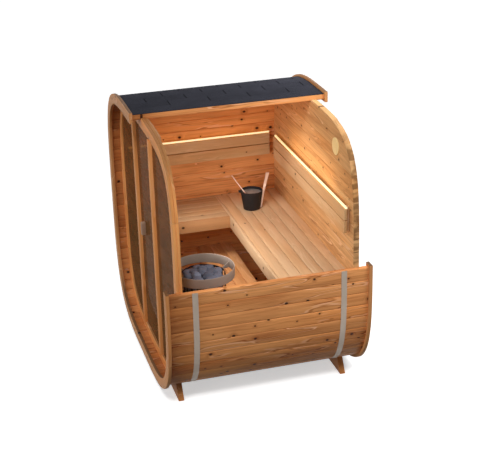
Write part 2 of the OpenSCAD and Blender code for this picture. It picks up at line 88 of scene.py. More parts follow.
add_camera()

# ---------------------------------------------------------------- outline
# The body's outline across X, as in part.scad: a turn of 0 is the top,
# 90 degrees the far side, 180 the bottom and 270 the near side. An inset is
# a depth in from the rings' outer face, a run a length along the outline.
ring_lo, ring_hi = corners(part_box("front_ring"))
HALF_W = ring_hi.y
WAIST = 0.977
UP, DOWN = ring_hi.z - WAIST, WAIST - ring_lo.z
UP_POWER, DOWN_POWER = 4.0, 3.7
RING_PROUD, STAVE_T, STAVE_W, RING_DEPTH = 0.022, 0.042, 0.100, 0.082
ROOF_CUT, WALL_CUT_Z, RING_EXTRA = 0.022, 0.988, 0.020
STAVE_IN = RING_PROUD + STAVE_T
WALL_IN_STAVES, WALL_GAP, FRAME_PAST_STAVES = 0.013, 0.0003, 0.071
WALL_EDGE = STAVE_IN - WALL_IN_STAVES + WALL_GAP
FRAME_IN = STAVE_IN + FRAME_PAST_STAVES
TURN_STEP = 0.5


def outline(turn, inset=0.0):
    """The point of the outline at a turn in degrees, moved in by inset, and
    the direction that points out of the outline there."""
    s, c = math.sin(math.radians(turn)), math.cos(math.radians(turn))
    h, p = (UP, UP_POWER) if c >= 0 else (DOWN, DOWN_POWER)
    r = (abs(s / HALF_W) ** p + abs(c / h) ** p) ** (-1 / p)
    n = Vector((math.copysign((r * abs(s) / HALF_W) ** (p - 1) / HALF_W, s),
                math.copysign((r * abs(c) / h) ** (p - 1) / h, c))).normalized()
    return Vector((r * s, WAIST + r * c)) - inset * n, n


# turns from -30 to 390 degrees, and the run at each
TURNS = [t * TURN_STEP for t in range(-60, 781)]
RUNS = [0.0]
for t_a, t_b in zip(TURNS, TURNS[1:]):
    RUNS.append(RUNS[-1] + (outline(t_b)[0] - outline(t_a)[0]).length)
TOP_RUN = RUNS[TURNS.index(0)]
RUNS = [r - TOP_RUN for r in RUNS]


def lookup(x, xs, ys):
    """Straight-line value of ys at x, for rising xs."""
    lo, hi = 0, len(xs) - 1
    while hi - lo > 1:
        mid = (lo + hi) // 2
        lo, hi = (mid, hi) if xs[mid] <= x else (lo, mid)
    return ys[lo] + (ys[hi] - ys[lo]) * (x - xs[lo]) / (xs[hi] - xs[lo])


def run_of(turn):
    """Length along the outline from its top to a turn."""
    return lookup(turn, TURNS, RUNS)


def turn_of(run):
    return lookup(run, RUNS, TURNS)


def at_run(run, inset=0.0):
    return outline(turn_of(run), inset)[0]


def on_outline(w, u, v):
    """The point at a run of w and an inset of v, at u along the body."""
    p = at_run(w, v)
    return (u, p.x, p.y)


def half_width(z, inset):
    """Half the width of the outline at a height."""
    points = [outline(t, inset)[0] for t in TURNS if 1.5 <= t <= 178.5]
    for a, b in zip(points, points[1:]):
        if a.y >= z >= b.y:
            return a.x + (b.x - a.x) * (a.y - z) / max(a.y - b.y, 1e-9)
    return 0.0


def height_at(y, inset, top):
    """Height of the outline over or under a place along Y."""
    middle = 0 if top else 180
    turns = [middle + k * TURN_STEP for k in range(-160, 161)]
    points = sorted((outline(t, inset)[0] for t in turns), key=lambda p: p.x)
    return lookup(y, [p.x for p in points], [p.y for p in points])


FIRST_RUN = -ROOF_CUT
LAST_RUN = run_of(270) + WALL_CUT_Z - WAIST
STAVES = round((LAST_RUN - FIRST_RUN) / STAVE_W)
PITCH = (LAST_RUN - FIRST_RUN) / STAVES


def joint(i, inset):
    """Where stave i begins."""
    return at_run(FIRST_RUN + i * PITCH, inset)


def nearest_joint(turn):
    return round((run_of(turn) - FIRST_RUN) / PITCH)


# ---------------------------------------------------------------- shapes
def even(a, z, steps):
    """Evenly spaced values from a to z."""
    return [a + (z - a) * i / steps for i in range(steps + 1)]


def oblong(u_lo, v_lo, u_hi, v_hi):
    return [(u_lo, v_lo), (u_hi, v_lo), (u_hi, v_hi), (u_lo, v_hi)]


def plate_at(centre, turn):
    """Places (w across, u outward, v up) for a plate that stands out from a
    centre at a turn."""
    out, side = level_turn(turn)
    return lambda w, u, v: centre + out * u + side * w + Vector((0, 0, v))


def rounded(points, radius, steps=2):
    """A polygon with its corners rounded, by one radius or by one for each
    corner, in so many steps."""
    out = []
    count = len(points)
    radii = radius if isinstance(radius, (list, tuple)) else [radius] * count
    for i, p in enumerate(points):
        p = Vector(p)
        a, b = Vector(points[i - 1]) - p, Vector(points[(i + 1) % count]) - p
        r = min(radii[i], a.length * 0.45, b.length * 0.45)
        if r <= 0:
            out.append(p)
            continue
        a, b = p + a.normalized() * r, p + b.normalized() * r
        for k in range(steps + 1):
            f = k / steps
            out.append(a * (1 - f) ** 2 + 2 * p * f * (1 - f) + b * f * f)
    return out


def shrink(points, by):
    """A rough inset of a rounded polygon, towards its middle."""
    mid = sum(points, Vector((0, 0))) / len(points)
    off = [p - mid for p in points]
    keep_x = 1 - by / max(abs(p.x) for p in off)
    keep_y = 1 - by / max(abs(p.y) for p in off)
    return [mid + Vector((p.x * keep_x, p.y * keep_y)) for p in off]


def same(w, u, v):
    """Leaves a place as it is."""
    return (w, u, v)


class Boards:
    """One mesh of many boards. Each vertex keeps its place in the grain of
    its board, and each board has its own tone."""

    def __init__(self):
        self.bm = bmesh.new()
        self.grain = self.bm.verts.layers.float_vector.new("grain")
        self.tone = self.bm.verts.layers.float.new("tone")
        self.shift = Vector((0, 0, 0))
        self.shade = 0.5

    def new_board(self, shade=None):
        """Starts a board elsewhere in the grain, with a tone of its own or
        with the given one."""
        along, across = random.uniform(0, 40), random.uniform(-0.12, 0.12)
        self.shift = Vector((along, across, random.uniform(0.04, 0.16)))
        self.shade = 0.5 + random.uniform(-0.5, 0.5) if shade is None else shade

    def vert(self, co, grain):
        v = self.bm.verts.new(co)
        v[self.grain] = Vector(grain) + self.shift
        v[self.tone] = self.shade
        return v

    def loft(self, section, stops, place, grain=same, edge=0.0015, closed=False):
        """Sweeps a section of (u, v) along stops of w. place and grain turn
        (w, u, v) into a point and into a place in the grain. The ends are
        eased by edge, unless the sweep closes on itself."""
        section = [Vector(p) for p in section]
        loops = [(w, section) for w in stops]
        if not closed:
            small = shrink(section, edge)
            loops = ([(stops[0], small), (stops[0] + edge, section)] + loops[1:-1]
                     + [(stops[-1] - edge, section), (stops[-1], small)])
        rings = [[self.vert(place(w, p.x, p.y), grain(w, p.x, p.y)) for p in sec] for w, sec in loops]
        pairs = list(zip(rings, rings[1:]))
        if closed:
            pairs.append((rings[-1], rings[0]))
        n = len(section)
        for a, b in pairs:
            for i in range(n):
                j = (i + 1) % n
                self.bm.faces.new((a[i], a[j], b[j], b[i]))
        if not closed:
            self.bm.faces.new(rings[0][::-1])
            self.bm.faces.new(rings[-1])

    def board(self, lo, hi, axis, edge):
        """A straight board between two corners, with its grain along axis."""
        lo, hi = Vector(lo), Vector(hi)
        u, v = ((Y, Z), (Z, X), (X, Y))[axis]

        def place(w, a, b):
            p = Vector((0, 0, 0))
            p[axis], p[u], p[v] = w, a, b
            return p

        mid = (lo + hi) / 2
        sec = rounded(oblong(lo[u], lo[v], hi[u], hi[v]), edge)
        # the wide face of the board is the flat face of its grain
        wide_u = hi[u] - lo[u] >= hi[v] - lo[v]

        def grain(w, a, b):
            a, b = a - mid[u], b - mid[v]
            return (w, a, b) if wide_u else (w, b, a)

        self.loft(sec, [lo[axis], hi[axis]], place, grain, edge)

    def finish(self, name, material, body="sauna", replaces=(), angle=35):
        """Makes the piece. Edges sharper than angle stay sharp."""
        self.bm.normal_update()
        bmesh.ops.recalc_face_normals(self.bm, faces=self.bm.faces[:])
        mesh = bpy.data.meshes.new(name)
        self.bm.to_mesh(mesh)
        self.bm.free()
        mesh.shade_smooth()
        mesh.set_sharp_from_angle(angle=math.radians(angle))
        obj = bpy.data.objects.new(name, mesh)
        bpy.context.scene.collection.objects.link(obj)
        mesh.materials.append(material)
        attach(obj, body)
        if replaces:
            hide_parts(*replaces)


# ---------------------------------------------------------------- materials
class Nodes:
    """Small helper that adds nodes to a node tree and joins them."""

    def __init__(self, tree):
        self.tree = tree
        self.tree.nodes.clear()

    def add(self, kind, ins=None, **props):
        node = self.tree.nodes.new(kind)
        for key, value in props.items():
            setattr(node, key, value)
        for key, value in (ins or {}).items():
            self.put(node.inputs[key], value)
        return node

    def put(self, socket, value):
        if isinstance(value, bpy.types.NodeSocket):
            self.link(value, socket)
        else:
            socket.default_value = value

    def link(self, a, b):
        self.tree.links.new(a, b)

    def math(self, op, *values):
        node = self.add("ShaderNodeMath", operation=op)
        for socket, value in zip(node.inputs, values):
            self.put(socket, value)
        return node.outputs[0]

    def plus(self, a, b):
        return self.math("ADD", a, b)

    def times(self, a, b):
        return self.math("MULTIPLY", a, b)

    def around(self, value, by):
        """How far a value lies over a half, times by."""
        return self.times(self.math("SUBTRACT", value, 0.5), by)

    def clamp(self, value):
        return self.add("ShaderNodeClamp", {0: value}).outputs[0]

    def ramp(self, value, lo, hi, to_lo=0.0, to_hi=1.0):
        node = self.add("ShaderNodeMapRange", {0: value, 1: lo, 2: hi, 3: to_lo, 4: to_hi})
        node.interpolation_type = "SMOOTHSTEP"
        return node.outputs[0]

    def mix(self, f, a, b, blend="MIX"):
        node = self.add("ShaderNodeMix", data_type="RGBA", blend_type=blend)
        for socket, value in ((node.inputs[0], f), (node.inputs[6], a), (node.inputs[7], b)):
            if not isinstance(value, (bpy.types.NodeSocket, int, float)):
                value = (*value, 1.0)
            self.put(socket, value)
        return node.outputs[2]

    def tinted(self, colour, tint, f):
        """A colour that is multiplied by a tint where f is 1."""
        return self.mix(f, colour, self.mix(1.0, colour, tint, "MULTIPLY"))

    def noise(self, vector, scale, detail, rough=0.5, bend=0.0):
        node = self.add("ShaderNodeTexNoise", {"Vector": vector, "Scale": scale, "Detail": detail,
                                               "Roughness": rough, "Distortion": bend})
        return node.outputs["Fac"]

    def streaks(self, vector, by, detail, rough=0.5, bend=0.0):
        """Noise with its own scale along each axis."""
        scaled = self.add("ShaderNodeVectorMath", {0: vector, 1: by}, operation="MULTIPLY")
        return self.noise(scaled.outputs[0], 1.0, detail, rough, bend)

    def bump(self, height, strength, distance):
        ins = {"Strength": strength, "Distance": distance, "Height": height}
        return self.add("ShaderNodeBump", ins).outputs[0]

    def split(self, vector):
        return self.add("ShaderNodeSeparateXYZ", {0: vector}).outputs

    def join(self, *parts):
        return self.add("ShaderNodeCombineXYZ", dict(enumerate(parts))).outputs[0]

    def seen(self):
        """1 for what the camera sees, also in a mirror or through a pane."""
        path = self.add("ShaderNodeLightPath").outputs
        seen = self.math("MAXIMUM", path["Is Camera Ray"], path["Is Glossy Ray"])
        return self.math("MAXIMUM", seen, path["Is Transmission Ray"])


class Tree(Nodes):
    """The nodes of a new material."""

    def __init__(self, name):
        self.mat = bpy.data.materials.new(name)
        self.mat.use_nodes = True
        super().__init__(self.mat.node_tree)
        self.shader = self.add("ShaderNodeBsdfPrincipled")
        self.link(self.shader.outputs[0], self.add("ShaderNodeOutputMaterial").inputs[0])

    def look(self, values):
        """Sets inputs of the shader and gives back the material."""
        for key, value in values.items():
            self.put(self.shader.inputs[key], value)
        return self.mat

    def here(self):
        return self.add("ShaderNodeTexCoord").outputs["Object"]

    def tone(self):
        """The tone of a board in a mesh of Boards."""
        return self.add("ShaderNodeAttribute", attribute_name="tone").outputs["Fac"]

    def place(self, axis=None, seed=0.0):
        """Where a point lies in the grain: from the mesh's own layer, or
        from the object's space with the grain along axis."""
        if axis is None:
            return self.add("ShaderNodeAttribute", attribute_name="grain").outputs["Vector"]
        part = self.split(self.here())
        order = ((X, Y, Z), (Y, Z, X), (Z, X, Y))[axis]
        offsets = (7.0 + seed, 0.05, 0.09)
        return self.join(*(self.plus(part[k], off) for k, off in zip(order, offsets)))


# Knots: cells per metre along and across a board, and the two distances, in
# knot sizes, between which a knot, its halo and its heart fade in.
KNOT_CELLS = (6.0, 7.5)
KNOT_FADE, HALO_FADE, HEART_FADE = (1.1, 0.75), (3.4, 0.8), (0.7, 0.25)
KNOT_HEART = (0.008, 0.004, 0.003)


def knot_masks(t, grain, share, sizes):
    """Knots in a share of the cells of a grid on the wide face: masks of the
    knots, of the haloes round them and of their hearts."""
    along, across, _ = t.split(grain)
    flat = t.join(t.times(along, KNOT_CELLS[0]), t.times(across, KNOT_CELLS[1]))
    cell = t.add("ShaderNodeTexVoronoi", {"Vector": flat, "Scale": 1.0, "Randomness": 1.0},
                 voronoi_dimensions="2D")
    pick = t.add("ShaderNodeSeparateColor", {0: cell.outputs["Color"]}).outputs
    wobble = t.around(t.streaks(grain, (60, 60, 60), 2.0), 0.03)
    size = t.ramp(pick[1], 0.0, 1.0, *sizes)
    near = t.math("DIVIDE", t.plus(cell.outputs["Distance"], wobble), size)
    chosen = t.math("LESS_THAN", pick[0], share)
    return [t.times(t.ramp(near, *fade), chosen) for fade in (KNOT_FADE, HALO_FADE, HEART_FADE)]


# Growth rings, in metres: how far they wander slowly and quickly, and how
# far a knot pushes them aside.
RINGS_PER_METRE = 95.0
RING_BEND, RING_WAVER, KNOT_PUSH = 0.10, 0.016, 0.010


def late_wood(t, grain, halo):
    """Growth rings round a heart that lies beside the board: a mask of the
    dark late wood, which ends sharply."""
    _, across, deep = t.split(grain)
    bend = t.around(t.streaks(grain, (1.1, 5, 5), 3.0), RING_BEND)
    waver = t.times(t.streaks(grain, (4.5, 18, 18), 2.0), RING_WAVER)
    bent = t.plus(across, bend)
    radius = t.math("SQRT", t.plus(t.times(bent, bent), t.times(deep, deep)))
    radius = t.plus(radius, t.plus(t.times(halo, KNOT_PUSH), waver))
    ring = t.math("FRACT", t.times(radius, RINGS_PER_METRE))
    return t.times(t.ramp(ring, 0.35, 0.93), t.ramp(ring, 1.0, 0.95))


# A flame line follows one level of a noise, the dark line another.
PALE_LEVEL, DARK_LEVEL, LINE_FADE = 0.50, 0.545, (0.030, 0.006)


def flame_masks(t, grain, amount):
    """A pale wavy line and the dark one beside it, in some stretches."""
    wave = t.streaks(grain, (2.0, 20, 20), 1.0, 0.5, 0.6)
    stretch = t.times(t.ramp(t.streaks(grain, (1.0, 9, 9), 1.0), 0.49, 0.58), amount)
    off = [t.math("ABSOLUTE", t.math("SUBTRACT", wave, level)) for level in (PALE_LEVEL, DARK_LEVEL)]
    return [t.times(t.ramp(o, *LINE_FADE), stretch) for o in off]


# How much each part of the figure darkens the wood.
BROAD_DARK, MIDDLE_DARK, LATE_DARK, PATCH_DARK = 0.32, 0.09, 0.17, 0.95
FIBRE_DARK, HALO_DARK, LINE_DARK, LINE_PALE = 0.26, 0.22, 0.5, 0.7
# painted shade: the porch shade tint darkens the open front end along X, and the crest shade tint darkens and
# greys faces that look up
WARM_TINT, PORCH_SHADE_TINT, CREST_SHADE_TINT = (1.0, 0.82, 0.62), (0.50, 0.43, 0.38), (0.30, 0.33, 0.40)
PORCH_SHADE_X = (-0.40, -0.74)


def wood(name, pale, deep, knots=0.0, axis=None, seed=0.0, streak=1.0, tone_by=0.25, flame=0.6,
         knot_size=(0.040, 0.092), knot_colour=(0.040, 0.014, 0.008), ends=None, porch_shade=0.0, crest_shade=0.0):
    """Sawn softwood or hardwood: growth rings cut through as in a solid
    board, long streaks, fine fibres, knots and flame lines. ends is the axis
    of the end grain. porch_shade is painted shade that darkens the open
    front end; crest_shade is painted shade that darkens and greys what looks up."""
    t = Tree(name)
    grain = t.place(axis, seed)
    knot, halo, heart = knot_masks(t, grain, knots, knot_size)
    late = late_wood(t, grain, halo)
    pale_line, dark_line = flame_masks(t, grain, flame)
    broad = t.streaks(grain, (1.3, 24, 24), 3.0, 0.6, 0.6)
    middle = t.streaks(grain, (3.2, 75, 75), 3.0, 0.6, 0.8)
    fibre = t.streaks(grain, (9, 420, 420), 2.0, 0.6)
    patch = t.streaks(grain, (1.8, 6, 6), 2.0)

    dark = t.times(t.ramp(broad, 0.34, 0.68), BROAD_DARK * streak)
    dark = t.plus(dark, t.times(t.ramp(middle, 0.36, 0.68), MIDDLE_DARK * streak))
    dark = t.plus(dark, t.times(late, LATE_DARK * streak))
    dark = t.plus(dark, t.around(patch, PATCH_DARK * streak))
    dark = t.plus(dark, t.around(fibre, FIBRE_DARK))
    dark = t.plus(dark, t.times(halo, HALO_DARK))
    dark = t.plus(dark, t.times(dark_line, LINE_DARK))
    dark = t.math("SUBTRACT", dark, t.times(pale_line, LINE_PALE))
    if axis is None:
        dark = t.plus(dark, t.around(t.tone(), tone_by * 2))
    dark = t.clamp(dark)

    colour = t.mix(dark, pale, deep)
    colour = t.mix(t.times(pale_line, 0.48), colour, [c + (1 - c) * 0.28 for c in pale])
    warm = t.ramp(t.streaks(grain, (0.9, 4, 4), 1.0), 0.45, 0.75, 0.0, 0.55)
    colour = t.tinted(colour, WARM_TINT, warm)
    if knots > 0:
        colour = t.mix(t.times(knot, 0.88), colour, knot_colour)
        colour = t.mix(t.times(heart, 0.7), colour, KNOT_HEART)
    if ends is not None:
        face = t.split(t.add("ShaderNodeTexCoord").outputs["Normal"])[ends]
        cut = t.ramp(t.math("ABSOLUTE", face), 0.25, 0.75)
        blot = t.ramp(t.streaks(grain, (6, 16, 6), 2.0), 0.42, 0.60, 0.15, 0.80)
        colour = t.mix(t.times(cut, blot), colour, [c * 0.42 for c in deep])
    # painted shade, darker towards the open front end
    if porch_shade:
        x = t.split(t.add("ShaderNodeNewGeometry").outputs["Position"])[X]
        colour = t.tinted(colour, PORCH_SHADE_TINT, t.ramp(x, *PORCH_SHADE_X, 0.0, porch_shade))
    # painted shade, darker and greyer on faces that look up
    if crest_shade:
        up = t.split(t.add("ShaderNodeNewGeometry").outputs["Normal"])[Z]
        colour = t.tinted(colour, CREST_SHADE_TINT, t.ramp(up, 0.20, 0.85, 0.0, crest_shade))

    height = t.plus(t.times(late, -0.3), t.times(fibre, 0.5))
    height = t.plus(height, t.times(knot, 0.5))
    return t.look({
        "Base Color": colour,
        "Roughness": t.ramp(t.plus(fibre, t.times(dark, -0.3)), 0.1, 0.9, 0.45, 0.67),
        "Normal": t.bump(height, 0.35, 0.0012),
        "Specular IOR Level": 0.10,
    })


# Each wood's pale and deep colour; some are copies with painted shade or painted warm light, as noted.
SHELL = ((0.90, 0.400, 0.143), (0.36, 0.103, 0.029))
RING = ((0.67, 0.315, 0.122), (0.42, 0.175, 0.064))
FRONT = ((0.98, 0.435, 0.145), (0.58, 0.215, 0.062))
FRAME = ((0.88, 0.385, 0.130), (0.56, 0.205, 0.060))
WALL = ((0.80, 0.46, 0.20), (0.36, 0.15, 0.05))
BENCH = ((0.71, 0.48, 0.278), (0.48, 0.30, 0.160))
# the bench wood made darker: painted shade on the side bench top and its fascia, under the roof
SIDE_SHADED = ((0.60, 0.395, 0.215), (0.42, 0.255, 0.125))
SIDE_EDGE_SHADED = ((0.54, 0.29, 0.135), (0.38, 0.19, 0.08))
REST = ((0.76, 0.49, 0.255), (0.53, 0.32, 0.155))
# the bench wood made brighter and more orange: painted warm light on the step
STEP_WARM_LIT = ((0.95, 0.47, 0.19), (0.66, 0.28, 0.10))
PALE = ((0.84, 0.60, 0.47), (0.64, 0.42, 0.31))
VENT = ((0.98, 0.80, 0.42), (0.95, 0.72, 0.34))
HANDLE = ((0.46, 0.29, 0.20), (0.22, 0.125, 0.08))
FOOT = ((0.60, 0.25, 0.085), (0.36, 0.12, 0.034))
HEADER = ((0.48, 0.25, 0.110), (0.30, 0.13, 0.052))
FAINT_KNOT = (0.16, 0.07, 0.03)
LOOKS = {
    # the shell takes painted shade at its open front end; the ring and the front take painted shade on faces
    # that look up
    "shell": wood("shell_wood", *SHELL, knots=0.60, tone_by=0.19, flame=1.0, porch_shade=0.8),
    "ring": wood("ring_wood", *RING, knots=0.14, streak=0.9, tone_by=0.10, crest_shade=1.0),
    "front": wood("front_wood", *FRONT, knots=0.10, streak=1.3, tone_by=0.12, crest_shade=0.8),
    "frame": wood("frame_wood", *FRAME, knots=0.10, streak=1.1, tone_by=0.12),
    "wall": wood("wall_wood", *WALL, knots=0.60, tone_by=0.16, knot_size=(0.028, 0.065), ends=Y),
    "bench": wood("bench_wood", *BENCH, knots=0.05, streak=0.7, tone_by=0.15, flame=0.3,
                  knot_colour=FAINT_KNOT),
    # darker copies of the bench wood, painted shade
    "side": wood("side_shaded_wood", *SIDE_SHADED, knots=0.05, streak=0.7, tone_by=0.15, flame=0.3,
                 knot_colour=FAINT_KNOT),
    "side_edge_shaded": wood("side_edge_shaded_wood", *SIDE_EDGE_SHADED, knots=0.05, streak=0.7, tone_by=0.15),
    "rest": wood("rest_wood", *REST, knots=0.05, streak=0.8, tone_by=0.15, flame=0.3,
                 knot_colour=FAINT_KNOT),
    # painted warm light: a brighter, more orange copy of the bench wood
    "step": wood("step_warm_lit_wood", *STEP_WARM_LIT, knots=0.05, streak=0.8, tone_by=0.2, flame=0.4),
    "pale": wood("pale_wood", *PALE, streak=0.6, tone_by=0.05, flame=0.0),
    "vent": wood("vent_wood", *VENT, streak=0.6, tone_by=0.05, flame=0.0),
    "handle": wood("handle_wood", *HANDLE, streak=0.9, tone_by=0.1, flame=0.0),
    "foot": wood("foot_wood", *FOOT, knots=0.4, axis=Y, seed=3.0),
    "header": wood("header_wood", *HEADER, knots=0.3, axis=Y, seed=9.0),
    "bearer_x": wood("bearer_wood_x", *BENCH, knots=0.2, axis=X, seed=2.0),
    "bearer_z": wood("bearer_wood_z", *BENCH, knots=0.2, axis=Z, seed=5.0),
}


def glass():
    """Bronze-tinted pane, faintly smeared, that mirrors next to nothing."""
    t = Tree("glass")
    here = t.here()
    smear = t.ramp(t.streaks(here, (3, 3, 14), 3.0), 0.35, 0.70)
    return t.look({
        "Base Color": t.mix(smear, (0.39, 0.205, 0.082), (0.33, 0.165, 0.062)),
        "Roughness": t.ramp(t.noise(here, 9.0, 3.0), 0.35, 0.75, 0.0, 0.03),
        "IOR": 1.012,
        "Transmission Weight": 0.58,
    })


def metal(name, colour, rough, axis, metallic=1.0, brush=1.0):
    """Brushed metal, its fine lines along axis."""
    t = Tree(name)
    grain = t.place(axis)
    lines = t.streaks(grain, (3, 900, 900), 3.0, 0.6)
    cloud = t.streaks(grain, (5, 9, 9), 3.0)
    smooth = t.plus(lines, t.times(cloud, 0.5))
    return t.look({
        "Base Color": t.mix(t.ramp(cloud, 0.3, 0.7, 0.0, 0.35), colour, [c * 0.72 for c in colour]),
        "Metallic": metallic,
        "Roughness": t.ramp(smooth, 0.3, 1.2, rough - 0.08, rough + 0.14),
        "Normal": t.bump(lines, 0.12 * brush, 0.0006),
    })


def paint(name, colour, rough):
    """Matt paint or moulded plastic with a fine tooth and faint scuffs."""
    t = Tree(name)
    here = t.here()
    cloud = t.noise(here, 14.0, 4.0, 0.6)
    scuffed = [min(1.0, c * 1.5 + 0.004) for c in colour]
    return t.look({
        "Base Color": t.mix(t.ramp(cloud, 0.35, 0.75, 0.0, 0.5), colour, scuffed),
        "Roughness": t.ramp(cloud, 0.3, 0.8, rough - 0.08, rough + 0.10),
        "Specular IOR Level": 0.3,
        "Normal": t.bump(t.noise(here, 900.0, 2.0), 0.25, 0.0005),
    })


def felt():
    """Mineral-coated roofing felt."""
    t = Tree("shingle_felt")
    here = t.here()
    grit = t.add("ShaderNodeTexVoronoi", {"Vector": here, "Scale": 420.0})
    speck = t.add("ShaderNodeSeparateColor", {0: grit.outputs["Color"]}).outputs[0]
    cloud = t.noise(here, 5.0, 4.0, 0.6)
    light = t.plus(t.times(speck, 0.35), t.times(cloud, 0.25))
    light = t.clamp(t.plus(light, t.times(t.tone(), 0.05)))
    return t.look({
        # a tone far below zero clamps to the near-black end: painted shade in the cuts between tabs
        "Base Color": t.mix(light, (0.003, 0.003, 0.004), (0.078, 0.079, 0.102)),
        "Roughness": 0.9,
        "Specular IOR Level": 0.08,
        "Normal": t.bump(grit.outputs["Distance"], 0.5, 0.0012),
    })


def stone():
    """Dark rounded volcanic stone."""
    t = Tree("stone")
    here = t.here()
    pores = t.noise(here, 260.0, 3.0, 0.6)
    cloud = t.noise(here, 22.0, 4.0, 0.6)
    light = t.plus(t.times(cloud, 0.6), t.times(t.tone(), 0.6))
    light = t.clamp(t.plus(light, t.around(pores, 0.5)))
    return t.look({
        "Base Color": t.mix(light, (0.058, 0.064, 0.088), (0.225, 0.240, 0.310)),
        "Roughness": t.ramp(pores, 0.3, 0.7, 0.62, 0.85),
        "Specular IOR Level": 0.2,
        "Normal": t.bump(t.plus(pores, t.times(cloud, 1.5)), 0.5, 0.002),
    })


def water():
    """Still water in the dark bucket, with a faint ripple; its opaque grey is painted reflection."""
    t = Tree("water")
    ripple = t.noise(t.here(), 26.0, 2.0)
    return t.look({
        # painted reflection: an opaque grey-beige, mottled by the ripple, in place of clear water that
        # mirrors the room
        "Base Color": t.mix(t.ramp(ripple, 0.3, 0.7), (0.17, 0.17, 0.16), (0.26, 0.25, 0.23)),
        "Roughness": 0.08,
        "Normal": t.bump(ripple, 0.25, 0.004),
    })


def lamp(name, colour, strength):
    """Lit strip under a frosted cover."""
    t = Tree(name)
    dots = t.ramp(t.noise(t.here(), 60.0, 1.0), 0.3, 0.7)
    warmer = [c * f for c, f in zip(colour, (1, 0.97, 0.88))]
    return t.look({
        "Base Color": (0.9, 0.86, 0.75, 1),
        "Roughness": 0.4,
        "Emission Color": t.mix(dots, colour, warmer),
        "Emission Strength": strength,
    })


LOOKS["glass"] = glass()
LOOKS["band"] = metal("band_steel", (0.47, 0.385, 0.31), rough=0.45, axis=Z, metallic=0.2)
LOOKS["hinge"] = metal("hinge_brass", (0.60, 0.44, 0.20), rough=0.35, axis=Z)
LOOKS["guard"] = metal("guard_metal", (0.42, 0.335, 0.275), rough=0.45, axis=X, metallic=0.1, brush=0.6)
LOOKS["black"] = paint("stove_black", (0.018, 0.018, 0.020), rough=0.5)
LOOKS["bucket"] = paint("bucket_black", (0.016, 0.015, 0.016), rough=0.6)
LOOKS["felt"] = felt()
LOOKS["stone"] = stone()
LOOKS["water"] = water()
LOOKS["light"] = lamp("light_strip", (1.0, 0.80, 0.40), strength=0.80)


def dress(node, material):
    """Gives a CAD node its material."""
    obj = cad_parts[node]
    obj.data.materials.clear()
    obj.data.materials.append(material)


# ---------------------------------------------------------------- shell
STAVE_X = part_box("roof_shell")[1][0]
STAVE_GAP = 0.0004
STAVE_ROUND = [0.0060, 0.0060, 0.0065, 0.0065]
# the rounded corners of planed boards and of a groove
BOARD_ROUND, GROOVE_ROUND = 0.003, 0.0004


def staves(name, node, start, stop):
    """The staves from one joint of the shell to another."""
    b = Boards()
    for i in range(start, stop):
        b.new_board()
        pts = [joint(i, RING_PROUD), joint(i + 1, RING_PROUD), joint(i + 1, STAVE_IN), joint(i, STAVE_IN)]
        tangent = (pts[1] - pts[0]).normalized()
        normal = Vector((tangent.y, -tangent.x))
        mid = sum(pts, Vector((0, 0))) / 4

        def grain(w, u, v, mid=mid, tangent=tangent, normal=normal):
            p = Vector((u, v)) - mid
            return (w, p.dot(tangent), p.dot(normal))

        pts = [p + tangent * (STAVE_GAP * side) for p, side in zip(pts, (1, -1, -1, 1))]
        b.loft(rounded(pts, STAVE_ROUND, 3), [-STAVE_X, STAVE_X], same, grain)
    b.finish(name, LOOKS["shell"], replaces=(node,))


# the joints nearest to the turns where the roof, the far wall and the floor end
ROOF_END, FAR_END, FLOOR_END = (nearest_joint(t) for t in (60, 130, 230))
staves("roof_staves", "roof_shell", 0, ROOF_END)
staves("far_wall_staves", "far_wall_shell", ROOF_END, FAR_END)
staves("floor_staves", "floor_shell", FAR_END, FLOOR_END)
staves("near_wall_staves", "near_wall_shell", FLOOR_END, STAVES)


# ---------------------------------------------------------------- rings and front frame
RIM_BOARDS, FRAME_BOARDS = 9, 10
RIM_SEAM, RIM_STEP = 0.0006, 0.018
FRAME_START, FRAME_GROOVE = 0.13, 0.004
POST_HEART = 0.03


def curved_boards(node, depths, runs, parts, material, groove=0.0):
    """A rim round the outline, as thick as its node along X, made of curved
    boards end to end, with a groove along its outer face where asked."""
    (x_lo, _, _), (x_hi, _, _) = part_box(node)
    v_lo, v_hi = depths
    b = Boards()
    middle = (x_lo + x_hi) / 2
    notch = [(middle - groove, v_lo), (middle, v_lo + groove), (middle + groove, v_lo)] if groove else []
    section = rounded([(x_lo, v_lo)] + notch + [(x_hi, v_lo), (x_hi, v_hi), (x_lo, v_hi)],
                      [BOARD_ROUND] + [GROOVE_ROUND] * len(notch) + [BOARD_ROUND] * 3)
    length = (runs[1] - runs[0]) / parts
    steps = max(2, round(length / RIM_STEP))
    v_mid = (v_lo + v_hi) / 2
    for k in range(parts):
        b.new_board()
        a = runs[0] + k * length + RIM_SEAM / 2
        z = runs[0] + (k + 1) * length - RIM_SEAM / 2
        b.loft(section, even(a, z, steps), on_outline, lambda w, u, v: (w, v - v_mid, u - x_lo), 0.0008)
    b.finish(node + "_boards", material, replaces=(node,))


for ring in ("front_ring", "back_ring"):
    curved_boards(ring, (0, RING_DEPTH), (FIRST_RUN - RING_EXTRA, LAST_RUN + RING_EXTRA), RIM_BOARDS,
                  LOOKS["ring"])
curved_boards("front_frame", (WALL_EDGE, FRAME_IN), (FRAME_START, FRAME_START + run_of(360)), FRAME_BOARDS,
              LOOKS["front"], FRAME_GROOVE)


